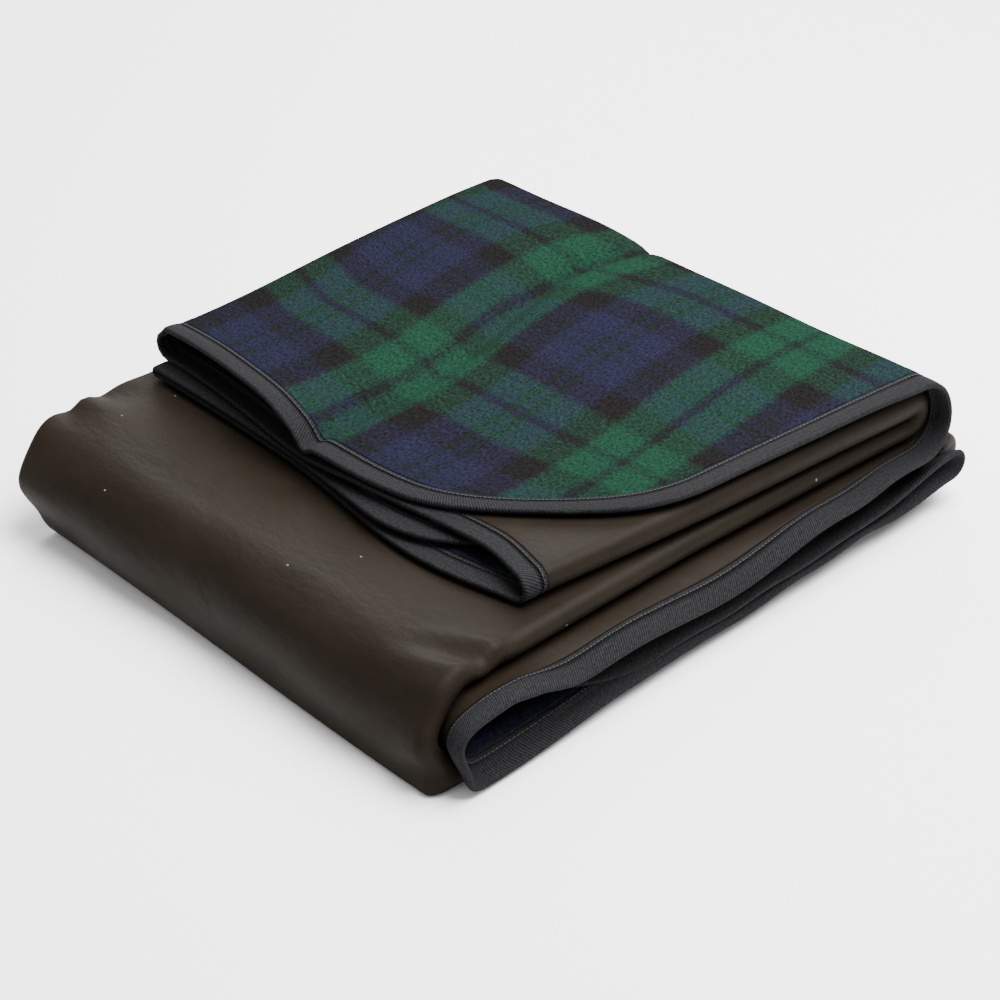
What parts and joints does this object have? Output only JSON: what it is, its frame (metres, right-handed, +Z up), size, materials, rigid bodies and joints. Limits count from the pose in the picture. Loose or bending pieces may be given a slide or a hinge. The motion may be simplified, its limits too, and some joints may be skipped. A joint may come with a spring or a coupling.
{
  "type": "folded camp blanket",
  "caption": "Two-ply camp blanket, waxed-cotton shell and checked wool lining bound all round with tape, folded into layers across and tiers along, ready to carry or stack.",
  "frame": {"origin": "centre of the folded bundle's footprint, on the surface that it rests on", "axes": "+Z up through the stack, +Y from the front roll to the back fold along the longest side, +X towards the side where the top layer's long rim lies"},
  "size_m": [0.432, 0.4999, 0.1085],
  "materials": {
    "waxed_cotton": "dark olive-brown waxed cotton, satin, with soft wax creases",
    "tartan_wool": "brushed wool, matt and napped, dark green and navy check with black bands",
    "binding_tape": "charcoal twill tape, matt, finely ribbed",
    "sewing_thread": "charcoal polyester thread, slight sheen"
  },
  "bodies": {
    "root": {"waxed_shell": "waxed_cotton", "wool_lining": "tartan_wool", "binding_tape": "binding_tape", "binding_thread": "sewing_thread"}
  },
  "joints": []
}
